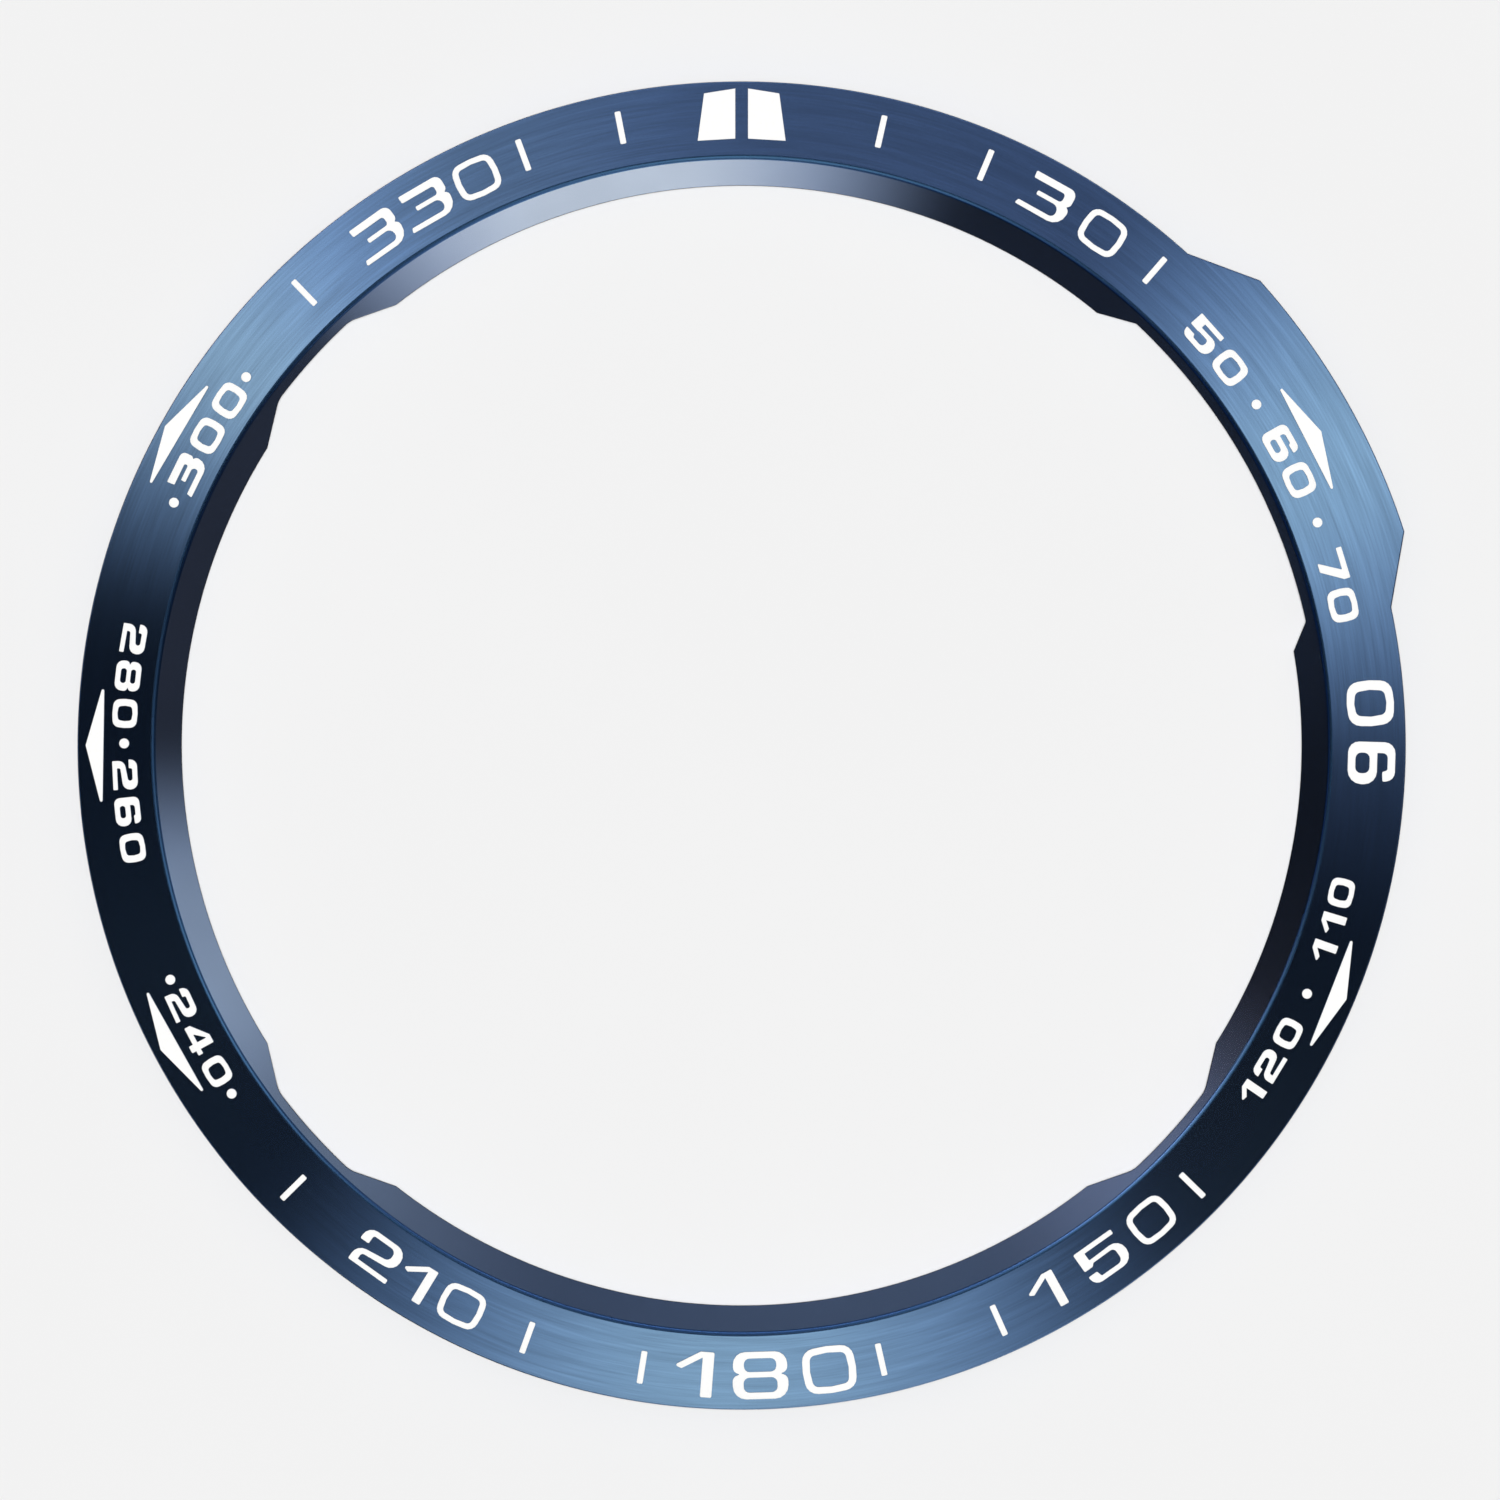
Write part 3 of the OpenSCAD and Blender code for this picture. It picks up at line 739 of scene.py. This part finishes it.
@dataclass
class BezelRing:
    """The steel ring: collar, sloping wall, rolled lip, face with its guard, skirt and tape channel."""

    rim_radius: float = 24.0 * MM
    face_width: float = 2.75 * MM
    wall_width: float = 1.0 * MM
    height: float = 1.9 * MM
    face_fall: float = 7.5
    bore_height: float = 0.95 * MM
    roll_radius: float = 0.22 * MM
    rim_roll_radius: float = 0.045 * MM
    edge_radius: float = 0.04 * MM
    collar_wall: float = 1.05 * MM
    skirt_wall: float = 0.5 * MM
    skirt_foot: float = 0.3 * MM
    channel_roof: float = 0.75 * MM
    relief_depth: float = 0.64 * MM
    wide_relief_azimuth: float = 60.35
    wide_relief_half: float = 17.25
    wide_relief_lead: float = 3.7
    wide_relief_trail: float = 2.7
    wide_relief_corner: float = 0.1 * MM
    small_relief_azimuths: tuple[float, ...] = (132.0, 228.0, 312.0)
    small_relief_half: float = 5.3
    small_relief_ramp: float = 4.6
    small_relief_corner: float = 1.0 * MM
    # Angle from one section to the next, and the least from a section to an exact corner as a share of it
    column_step: float = 0.5
    least_step_share: float = 0.3
    roll_steps: int = 6
    edge_steps: int = 2
    face_rows: int = 6
    side_rows: int = 2
    beside_roll: float = 0.015 * MM
    crease: float = 32.0
    guard: Guard = field(init=False)
    reliefs: list[Relief] = field(init=False)

    def __post_init__(self) -> None:
        """Makes the guard and the reliefs from the ring's radii."""
        radii = (self.opening_radius, self.opening_radius + self.relief_depth)
        self.guard = Guard(self.rim_radius)
        wide = Relief(self.wide_relief_azimuth, self.wide_relief_half, self.wide_relief_lead,
                      self.wide_relief_trail, self.wide_relief_corner, *radii)
        small = [
            Relief(azimuth, self.small_relief_half, self.small_relief_ramp, self.small_relief_ramp,
                   self.small_relief_corner, *radii)
            for azimuth in self.small_relief_azimuths
        ]
        self.reliefs = [wide, *small]

    @property
    def face_radius(self) -> float:
        """Returns the radius of the face's inner edge."""
        return self.rim_radius - self.face_width

    @property
    def opening_radius(self) -> float:
        """Returns the radius of the clear opening."""
        return self.face_radius - self.wall_width

    @property
    def collar_radius(self) -> float:
        """Returns the outer radius of the collar."""
        return self.opening_radius + self.collar_wall

    def face_height(self, radius: float) -> float:
        """Returns the height of the sloping face at a radius."""
        return self.height - (radius - self.face_radius) * math.tan(math.radians(self.face_fall))

    def wall_height(self, radius: float) -> float:
        """Returns the height of the sloping wall at a radius."""
        rise = (self.height - self.bore_height) / self.wall_width
        return self.bore_height + (radius - self.opening_radius) * rise

    def opening_at(self, azimuth: float) -> float:
        """Returns the radius of the opening's edge at an azimuth."""
        return max(relief.radius_at(azimuth) for relief in self.reliefs)

    def azimuths(self) -> list[float]:
        """Chooses the azimuths of the ring's sections.

        Returns:
            Even steps once round, with the corners of the guard and the reliefs put in exactly.
        """
        corners = self.guard.corners() + [a for relief in self.reliefs for a in relief.corners()]
        corners = sorted(a % 360.0 for a in corners)
        close = self.least_step_share * self.column_step
        even = np.arange(0.0, 360.0, self.column_step)
        kept = [float(a) for a in even if min(abs(wrapped(float(a) - c)) for c in corners) > close]
        return sorted(kept + corners)

    def corners(self, azimuth: float) -> list[SectionCorner]:
        """Lists the corners of the ring's section at an azimuth.

        Args:
            azimuth: Degrees clockwise from twelve o'clock.

        Returns:
            The corners, from the foot of the bore up the wall, over the face and back underneath.
        """
        bore = self.opening_at(azimuth)
        rim = self.guard.radius_at(azimuth, 0.0)
        skirt = self.guard.radius_at(azimuth, self.skirt_wall)
        broken = (self.edge_radius, self.edge_steps)
        under = (*broken, Zone.UNDERSIDE, Zone.UNDERSIDE)
        return [
            SectionCorner((bore, 0.0), *broken, Zone.UNDERSIDE, Zone.TURNED_WALL),
            SectionCorner((bore, self.wall_height(bore)), *broken, Zone.TURNED_WALL, Zone.TURNED_WALL,
                          self.side_rows),
            SectionCorner((self.face_radius, self.height), self.roll_radius, self.roll_steps,
                          Zone.ROLLED_EDGE, Zone.BRUSHED_FACE, self.face_rows),
            SectionCorner((rim, self.face_height(rim)), self.rim_roll_radius, self.roll_steps,
                          Zone.OUTER_SIDE, Zone.OUTER_SIDE, self.side_rows),
            SectionCorner((rim, self.skirt_foot), *broken, Zone.OUTER_SIDE, Zone.UNDERSIDE),
            SectionCorner((skirt, self.skirt_foot), *under),
            SectionCorner((skirt, self.channel_roof), *under),
            SectionCorner((self.collar_radius, self.channel_roof), *under),
            SectionCorner((self.collar_radius, 0.0), *under),
        ]

    def section(self, azimuth: float) -> tuple[list[SectionPoint], list[Zone]]:
        """Draws the ring's section at an azimuth.

        Args:
            azimuth: Degrees clockwise from twelve o'clock.

        Returns:
            The section's points as radius and height, and the zone of the face after each point.
        """
        corners = self.corners(azimuth)
        following = corners[1:] + corners[:1]
        arcs = [
            arc_between(before.point, corner.point, after.point, corner.radius, corner.steps)
            for before, corner, after in zip(corners[-1:] + corners[:-1], corners, following)
        ]
        points: list[SectionPoint] = []
        zones: list[Zone] = []
        for corner, arc, next_arc in zip(corners, arcs, arcs[1:] + arcs[:1]):
            points += arc
            zones += [corner.rounding] * corner.steps + [corner.flat]
            if corner.rows > 1:
                start, end = np.array(arc[-1]), np.array(next_arc[0])
                near = self.beside_roll / float(np.linalg.norm(end - start))
                shares = [near, *(row / corner.rows for row in range(1, corner.rows)), 1.0 - near]
                points += [tuple(start + (end - start) * share) for share in shares]
                zones += [corner.flat] * len(shares)
        return points, zones

    def build(self) -> bpy.types.Object:
        """Builds the ring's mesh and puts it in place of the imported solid.

        Returns:
            The ring.
        """
        azimuths = self.azimuths()
        drawn = [self.section(azimuth) for azimuth in azimuths]
        finishes = [zone.value for zone in drawn[0][1]]
        ring = polar_solid("steel_ring", azimuths, [points for points, _ in drawn], finishes)
        smooth_with_crisp_corners(ring, self.crease)
        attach(ring, ROOT_BODY)
        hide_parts(RING_NODE)
        return ring

    def dress(self, ring: bpy.types.Object) -> None:
        """Gives each zone of the ring its finish, whose colour holds painted sheen on the wall and painted
        shade on the lip, outer side and underside.

        Args:
            ring: The ring's object.
        """
        for zone in Zone:
            ring.data.materials.append(RING_FINISHES_AND_PAINTED_LIGHT[zone].material())


@dataclass
class FoamTape:
    """The die-cut ring of foam tape in the channel, whose cut edges are hollowed towards its two faces."""

    ring: BezelRing
    thickness: float = 0.25 * MM
    skirt_gap: float = 0.15 * MM
    collar_gap: float = 0.65 * MM
    hollow: float = 0.02 * MM
    edge_rows: int = 6
    face_rows: int = 4
    crease: float = 40.0

    def section(self, azimuth: float) -> list[SectionPoint]:
        """Draws the tape's section at an azimuth.

        Args:
            azimuth: Degrees clockwise from twelve o'clock.

        Returns:
            The section's points as radius and height.
        """
        inner = self.ring.collar_radius + self.collar_gap
        outer = self.ring.guard.radius_at(azimuth, self.ring.skirt_wall + self.skirt_gap)
        width = outer - inner
        top = self.ring.channel_roof
        foot = top - self.thickness
        shares = [row / self.edge_rows for row in range(self.edge_rows + 1)]
        edge = [(self.hollow * (1 - math.sin(math.pi * share)), self.thickness * share) for share in shares]
        across = [width * row / self.face_rows for row in range(1, self.face_rows)]
        up = [(inner + inset, foot + rise) for inset, rise in edge]
        over = [(inner + out, top) for out in across]
        down = [(outer - inset, top - fall) for inset, fall in edge]
        back = [(outer - out, foot) for out in across]
        return up + over + down + back

    def build(self) -> bpy.types.Object:
        """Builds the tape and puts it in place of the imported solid.

        Returns:
            The tape.
        """
        azimuths = self.ring.azimuths()
        loops = [self.section(azimuth) for azimuth in azimuths]
        tape = polar_solid("foam_tape", azimuths, loops, [0] * len(loops[0]))
        smooth_with_crisp_corners(tape, self.crease)
        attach(tape, ROOT_BODY)
        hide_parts(TAPE_NODE)
        return tape

    def dress(self, tape: bpy.types.Object) -> None:
        """Gives the tape its finish.

        Args:
            tape: The tape's object.
        """
        tape.data.materials.append(FoamTapeFinish().material())


@dataclass
class PrintedScale:
    """The lacquer marks: each packed mark is repeated with soft edges and pressed down onto the face."""

    soft_edge: float = 0.012 * MM
    edge_steps: int = 2
    # Shape of the softened edge's section, where a half is a round one
    edge_profile: float = 0.5
    sink: float = 0.02 * MM
    weld: float = 0.0005 * MM
    flat_angle: float = 1.0
    # How far a face's normal rises or falls where the face counts as the mark's top or underside
    level_normal: float = 0.5
    crease: float = 50.0

    def names(self) -> list[str]:
        """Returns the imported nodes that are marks."""
        return sorted(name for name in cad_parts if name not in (RING_NODE, TAPE_NODE))

    def on_top_edge(self, edge: bmesh.types.BMEdge) -> bool:
        """Tells whether an edge lies between a mark's top and one of its sides.

        Args:
            edge: The edge.

        Returns:
            Whether it is to be softened.
        """
        rises = [face.normal.z for face in edge.link_faces]
        return (edge.calc_length() > 0 and len(rises) == 2
                and min(rises) < self.level_normal < max(rises))

    def soften(self, name: str) -> bpy.types.Object:
        """Repeats one mark with rounded edges, its underside pressed into the face.

        Args:
            name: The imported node's name.

        Returns:
            The new piece.
        """
        shape = bmesh.new()
        shape.from_mesh(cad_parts[name].data)
        bmesh.ops.remove_doubles(shape, verts=shape.verts, dist=self.weld)
        bmesh.ops.dissolve_limit(shape, angle_limit=math.radians(self.flat_angle), verts=shape.verts,
                                 edges=shape.edges)
        bmesh.ops.recalc_face_normals(shape, faces=shape.faces)
        underside = {v for face in shape.faces if face.normal.z < -self.level_normal for v in face.verts}
        for vertex in underside:
            vertex.co.z -= self.sink
        rims = [edge for edge in shape.edges if self.on_top_edge(edge)]
        bmesh.ops.bevel(shape, geom=rims, offset=self.soft_edge, segments=self.edge_steps, affect="EDGES",
                        profile=self.edge_profile, clamp_overlap=True)
        mesh = bpy.data.meshes.new(name + "_print")
        shape.to_mesh(mesh)
        shape.free()
        piece = bpy.data.objects.new(name + "_print", mesh)
        bpy.context.scene.collection.objects.link(piece)
        return piece

    def build(self) -> list[bpy.types.Object]:
        """Builds all the marks.

        Returns:
            The marks as pieces.
        """
        pieces = []
        for name in self.names():
            piece = self.soften(name)
            smooth_with_crisp_corners(piece, self.crease)
            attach(piece, ROOT_BODY)
            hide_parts(name)
            pieces.append(piece)
        return pieces

    def dress(self, pieces: Sequence[bpy.types.Object]) -> None:
        """Gives the marks their finish.

        Args:
            pieces: The marks.
        """
        lacquer = LacquerFinish().material()
        for piece in pieces:
            piece.data.materials.append(lacquer)


@dataclass(frozen=True)
class Glow:
    """The colour of a panel's light, in its middle and where it fades out."""

    core: Colour
    edge: Colour

    @classmethod
    def even(cls, colour: Colour) -> "Glow":
        """Makes a glow of one colour."""
        return cls(colour, colour)


WARM = Glow((1.08, 1.0, 0.76), (0.97, 1.0, 1.1))
HAZE = Glow((1.12, 0.96, 0.62), (0.97, 1.0, 1.08))
WINDOW = Glow((1.13, 1.0, 0.83), (0.93, 1.0, 1.15))
LAMP = Glow((1.02, 1.0, 0.93), (0.96, 1.0, 1.1))
COOL = Glow.even((1.03, 1.0, 1.17))
SKY = Glow.even((0.84, 1.0, 1.27))
AMBER = Glow.even((1.6, 1.0, 0.82))
DUSK = Glow.even((0.3, 0.7, 1.6))


@dataclass(frozen=True)
class Panel:
    """A soft panel of light in the tent round the ring, seen only as a reflection.

    It stands round an azimuth, between a low and a high elevation. Its ends fade over an angle to either
    side of its half width, and its upper and lower edges over a narrower one. All angles are in degrees.
    """

    azimuth: float
    half_width: float
    fade: float
    glow: Glow
    strength: float
    low: float
    high: float
    rim: float = 3.0

    def light(self, nodes: NodeBuilder, heading: bpy.types.NodeSocket,
              rise: bpy.types.NodeSocket) -> bpy.types.NodeSocket:
        """Adds the panel to the tent.

        Args:
            nodes: Builder of the world's nodes.
            heading: Level unit vector of the direction looked at.
            rise: That direction's elevation in degrees.

        Returns:
            The panel's light as a colour.
        """
        middle = (*azimuth_point(1.0, self.azimuth), 0.0)
        facing = nodes.vector("DOT_PRODUCT", heading, middle, result="Value")
        off = nodes.math("MULTIPLY", nodes.math("ARCCOSINE", facing), DEGREES_PER_RADIAN)
        across = nodes.ramp(off, self.half_width - self.fade, self.half_width + self.fade, 1.0, 0.0)
        above = nodes.ramp(rise, self.low - self.rim, self.low + self.rim)
        below = nodes.ramp(rise, self.high - self.rim, self.high + self.rim, 1.0, 0.0)
        share = nodes.math("MULTIPLY", across, nodes.math("MULTIPLY", above, below))
        tint = nodes.mix(share, scaled(self.glow.edge, self.strength), scaled(self.glow.core, self.strength))
        return nodes.mix(share, BLACK, tint)


@dataclass
class Studio:
    """Floor, lamps, light tent and camera."""

    floor_size: float = 3.0
    floor_depth: float = 0.02 * MM
    # Width of the view at the height of the rim's upper edge
    frame_width: float = 54.21 * MM
    rim_height: float = 1.54 * MM
    # The photograph's size, and where the ring's centre lies in it
    frame_pixels: float = 1500.0
    ring_centre_pixel: tuple[float, float] = (741.65, 745.55)
    camera_distance: float = 2.0
    # Nearest and farthest that the camera sees
    camera_reach: tuple[float, float] = (0.01, 20.0)
    sensor: float = 36.0
    lamp_distance: float = 1.0
    key_strength: float = 3.2
    key_angle: float = 4.0
    fill_strength: float = 0.3
    fill_angle: float = 110.0
    under_strength: float = 1.2
    tent_floor: Colour = (0.011, 0.012, 0.014)
    # The face mirrors the upper panels, the lip the middle ones and the wall the level ones
    upper: tuple[Panel, ...] = (
        Panel(63.7, 14.5, 15.5, WARM, 1.88, 45.0, 80.0),
        Panel(181.4, 23.0, 22.5, WARM, 1.57, 45.0, 81.0),
        Panel(307.8, 12.0, 13.2, HAZE, 1.54, 45.0, 80.0),
        Panel(330.0, 18.0, 16.0, WARM, 0.35, 45.0, 82.0),
        Panel(91.0, 8.0, 9.0, COOL, 0.09, 45.0, 82.0),
        Panel(355.0, 50.0, 18.0, COOL, 0.255, 45.0, 82.0),
    )
    middle: tuple[Panel, ...] = (
        Panel(352.0, 44.0, 14.0, COOL, 2.05, 32.0, 42.0),
        Panel(312.0, 13.0, 10.0, AMBER, 3.7, 32.0, 42.0),
        Panel(151.0, 18.0, 12.0, COOL, 1.0, 32.0, 41.0),
        Panel(247.0, 58.0, 12.0, DUSK, 0.25, 32.0, 42.0),
        Panel(114.0, 10.0, 10.0, DUSK, 0.14, 32.0, 42.0),
    )
    level: tuple[Panel, ...] = (
        Panel(166.5, 20.9, 15.0, WINDOW, 1.47, -35.0, 27.0),
        Panel(70.3, 12.6, 8.6, LAMP, 0.4, -35.0, 27.0),
        Panel(54.0, 20.0, 18.0, LAMP, 0.235, -35.0, 27.0),
        Panel(314.5, 11.7, 9.0, COOL, 0.168, -35.0, 27.0),
        Panel(16.5, 67.5, 6.0, SKY, 0.124, -35.0, 26.0),
        Panel(110.0, 25.0, 14.0, COOL, 0.039, -35.0, 27.0),
        Panel(232.0, 32.0, 16.0, COOL, 0.009, -35.0, 27.0),
    )

    def build_floor(self) -> bpy.types.Object:
        """Builds the floor.

        Returns:
            The floor, a shade under the ring's foot.
        """
        half = self.floor_size / 2
        mesh = bpy.data.meshes.new("studio_floor")
        corners = [(-half, -half), (half, -half), (half, half), (-half, half)]
        mesh.from_pydata([(x, y, -self.floor_depth) for x, y in corners], [], [(0, 1, 2, 3)])
        mesh.materials.append(PaperFinish().material())
        floor = bpy.data.objects.new("studio_floor", mesh)
        bpy.context.scene.collection.objects.link(floor)
        floor.visible_glossy = False
        return floor

    def build_lamp(self, name: str, strength: float, angle: float, upward: bool = False) -> bpy.types.Object:
        """Builds a lamp on the ring's axis, which lights the dull surfaces and isn't mirrored in the metal.

        Args:
            name: The lamp's name.
            strength: Light that it sheds on a level surface.
            angle: How wide it looks from the ring, in degrees.
            upward: Whether it stands below and shines up.

        Returns:
            The lamp.
        """
        data = bpy.data.lights.new(name, "SUN")
        data.energy = strength
        data.angle = math.radians(angle)
        lamp = bpy.data.objects.new(name, data)
        lamp.location = (0.0, 0.0, -self.lamp_distance if upward else self.lamp_distance)
        lamp.rotation_euler = (math.pi if upward else 0.0, 0.0, 0.0)
        lamp.visible_glossy = False
        bpy.context.scene.collection.objects.link(lamp)
        return lamp

    def build_lamps(self) -> list[bpy.types.Object]:
        """Builds the lamps.

        Returns:
            A key and a wide fill above, and a fill below for the underside.
        """
        return [
            self.build_lamp("key_lamp", self.key_strength, self.key_angle),
            self.build_lamp("fill_lamp", self.fill_strength, self.fill_angle),
            self.build_lamp("under_lamp", self.under_strength, self.fill_angle, upward=True),
        ]

    def build_tent(self) -> bpy.types.World:
        """Builds the light tent.

        Returns:
            The world, dim all round with the soft panels on it.
        """
        world = bpy.data.worlds.new("light_tent")
        world.use_nodes = True
        nodes = NodeBuilder(world.node_tree)
        direction = nodes.add("ShaderNodeTexCoord").outputs["Generated"]
        sine = nodes.add("ShaderNodeSeparateXYZ", {0: direction}).outputs["Z"]
        rise = nodes.math("MULTIPLY", nodes.math("ARCSINE", sine), DEGREES_PER_RADIAN)
        heading = nodes.vector("NORMALIZE", nodes.vector("MULTIPLY", direction, (1.0, 1.0, 0.0)))
        light: NodeInput = self.tent_floor
        for panel in (*self.upper, *self.middle, *self.level):
            light = nodes.vector("ADD", light, panel.light(nodes, heading, rise))
        shader = nodes.add("ShaderNodeBackground", {"Color": light, "Strength": 1.0})
        nodes.add("ShaderNodeOutputWorld", {"Surface": shader.outputs[0]})
        bpy.context.scene.world = world
        world.cycles_visibility.diffuse = False
        return world

    def build_camera(self) -> bpy.types.Object:
        """Builds the camera, straight above the ring.

        Returns:
            The camera, placed so that the ring's centre falls on its pixel of the photograph's frame.
        """
        data = bpy.data.cameras.new("camera")
        data.sensor_width = self.sensor
        data.lens = self.sensor * self.camera_distance / self.frame_width
        data.clip_start, data.clip_end = self.camera_reach
        camera = bpy.data.objects.new("camera", data)
        pixel = self.frame_width / self.frame_pixels
        middle = self.frame_pixels / 2
        across = (middle - self.ring_centre_pixel[0]) * pixel
        down = (middle - self.ring_centre_pixel[1]) * pixel
        camera.location = (across, -down, self.rim_height + self.camera_distance)
        bpy.context.scene.collection.objects.link(camera)
        bpy.context.scene.camera = camera
        return camera

    def set_colours(self) -> None:
        """Shows the light as it is, with no film look."""
        view = bpy.context.scene.view_settings
        view.view_transform = "Standard"
        view.look = "None"
        view.exposure = 0.0
        view.gamma = 1.0


def report(piece: bpy.types.Object) -> None:
    """Logs a piece and the number of its faces."""
    LOG.info("%s: %d faces", piece.name, len(piece.data.polygons))


def main() -> None:
    """Builds the studio and the pieces in order, dresses the pieces and reports each one."""
    logging.basicConfig(level=logging.INFO, format="%(name)s: %(message)s")
    studio = Studio()
    studio.set_colours()
    for made in (studio.build_camera(), studio.build_floor(), *studio.build_lamps(), studio.build_tent()):
        LOG.info("studio: %s", made.name)
    ring = BezelRing()
    steel = ring.build()
    ring.dress(steel)
    report(steel)
    tape = FoamTape(ring)
    foam = tape.build()
    tape.dress(foam)
    report(foam)
    scale = PrintedScale()
    prints = scale.build()
    scale.dress(prints)
    for piece in prints:
        report(piece)


if __name__ == "__main__":
    main()
